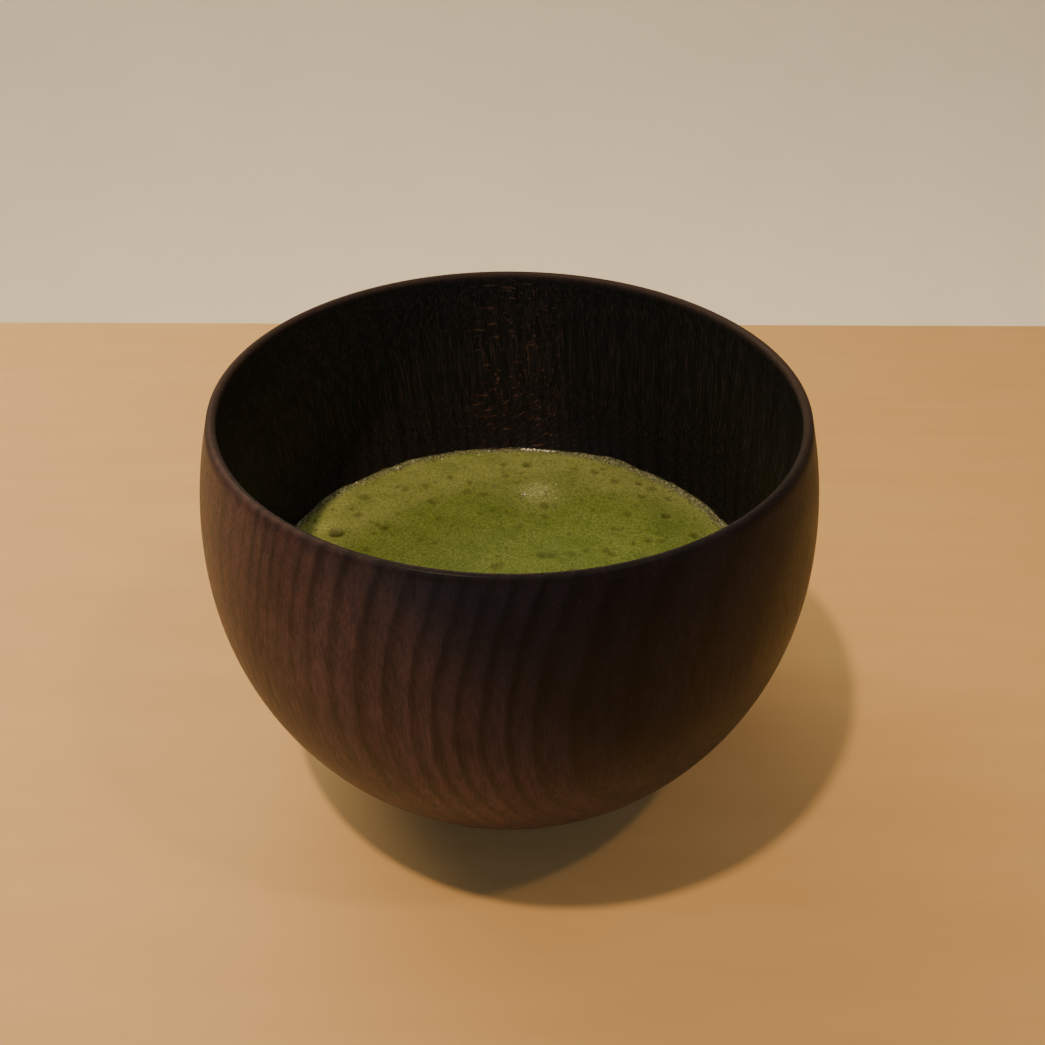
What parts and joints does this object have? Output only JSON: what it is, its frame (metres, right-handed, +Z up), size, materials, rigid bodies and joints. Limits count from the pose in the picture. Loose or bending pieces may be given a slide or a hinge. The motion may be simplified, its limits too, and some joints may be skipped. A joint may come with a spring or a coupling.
{
  "type": "matcha bowl",
  "caption": "Round-bellied turned wooden tea bowl with a thin lip and a low foot ring, dark wiped lacquer over a bold grain, holding frothed green tea.",
  "frame": {"origin": "centre of the foot ring's underside, on the surface that the bowl stands on", "axes": "+Z up along the axis the bowl was turned on; -Y towards the side seen in front"},
  "size_m": [0.118, 0.118, 0.086],
  "materials": {
    "lacquered_wood": "satin",
    "green_tea": "gloss",
    "tea_froth": "satin",
    "bubble_film": "gloss"
  },
  "bodies": {
    "root": {"bowl_body": "lacquered_wood", "tea": "green_tea", "froth": "tea_froth", "rim_bubbles": "bubble_film", "large_bubble": "bubble_film"}
  },
  "joints": []
}
